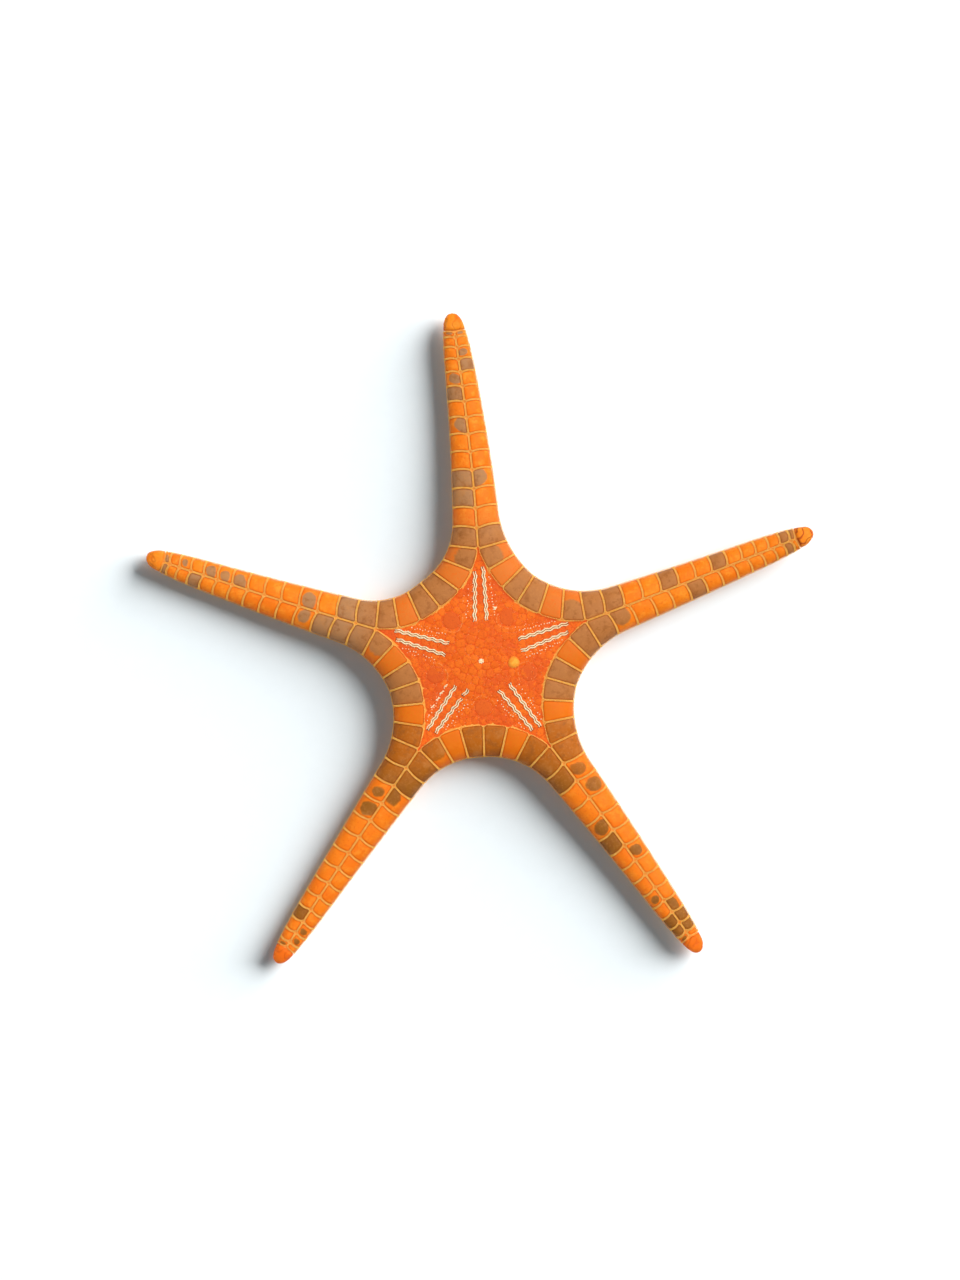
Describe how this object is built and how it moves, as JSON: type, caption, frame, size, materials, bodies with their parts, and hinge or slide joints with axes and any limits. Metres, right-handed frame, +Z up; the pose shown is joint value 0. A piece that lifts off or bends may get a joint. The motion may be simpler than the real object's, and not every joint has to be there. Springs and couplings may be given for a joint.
{
  "type": "dried starfish",
  "caption": "Dried five-armed sea star lying flat: small disc, long tapering arms, framed by paired edge plates, with a furrowed underside and a central mouth.",
  "frame": {"origin": "on the plane it rests on, under the middle of the box round its outline", "axes": "+Z up out of the upper side, away from the mouth; +Y along the arm that points away from the viewer, nearly; +X to the right"},
  "size_m": [0.15, 0.1466, 0.0079],
  "materials": {
    "starfish_plates": "satin"
  },
  "bodies": {
    "root": {"starfish": "starfish_plates"}
  },
  "joints": []
}
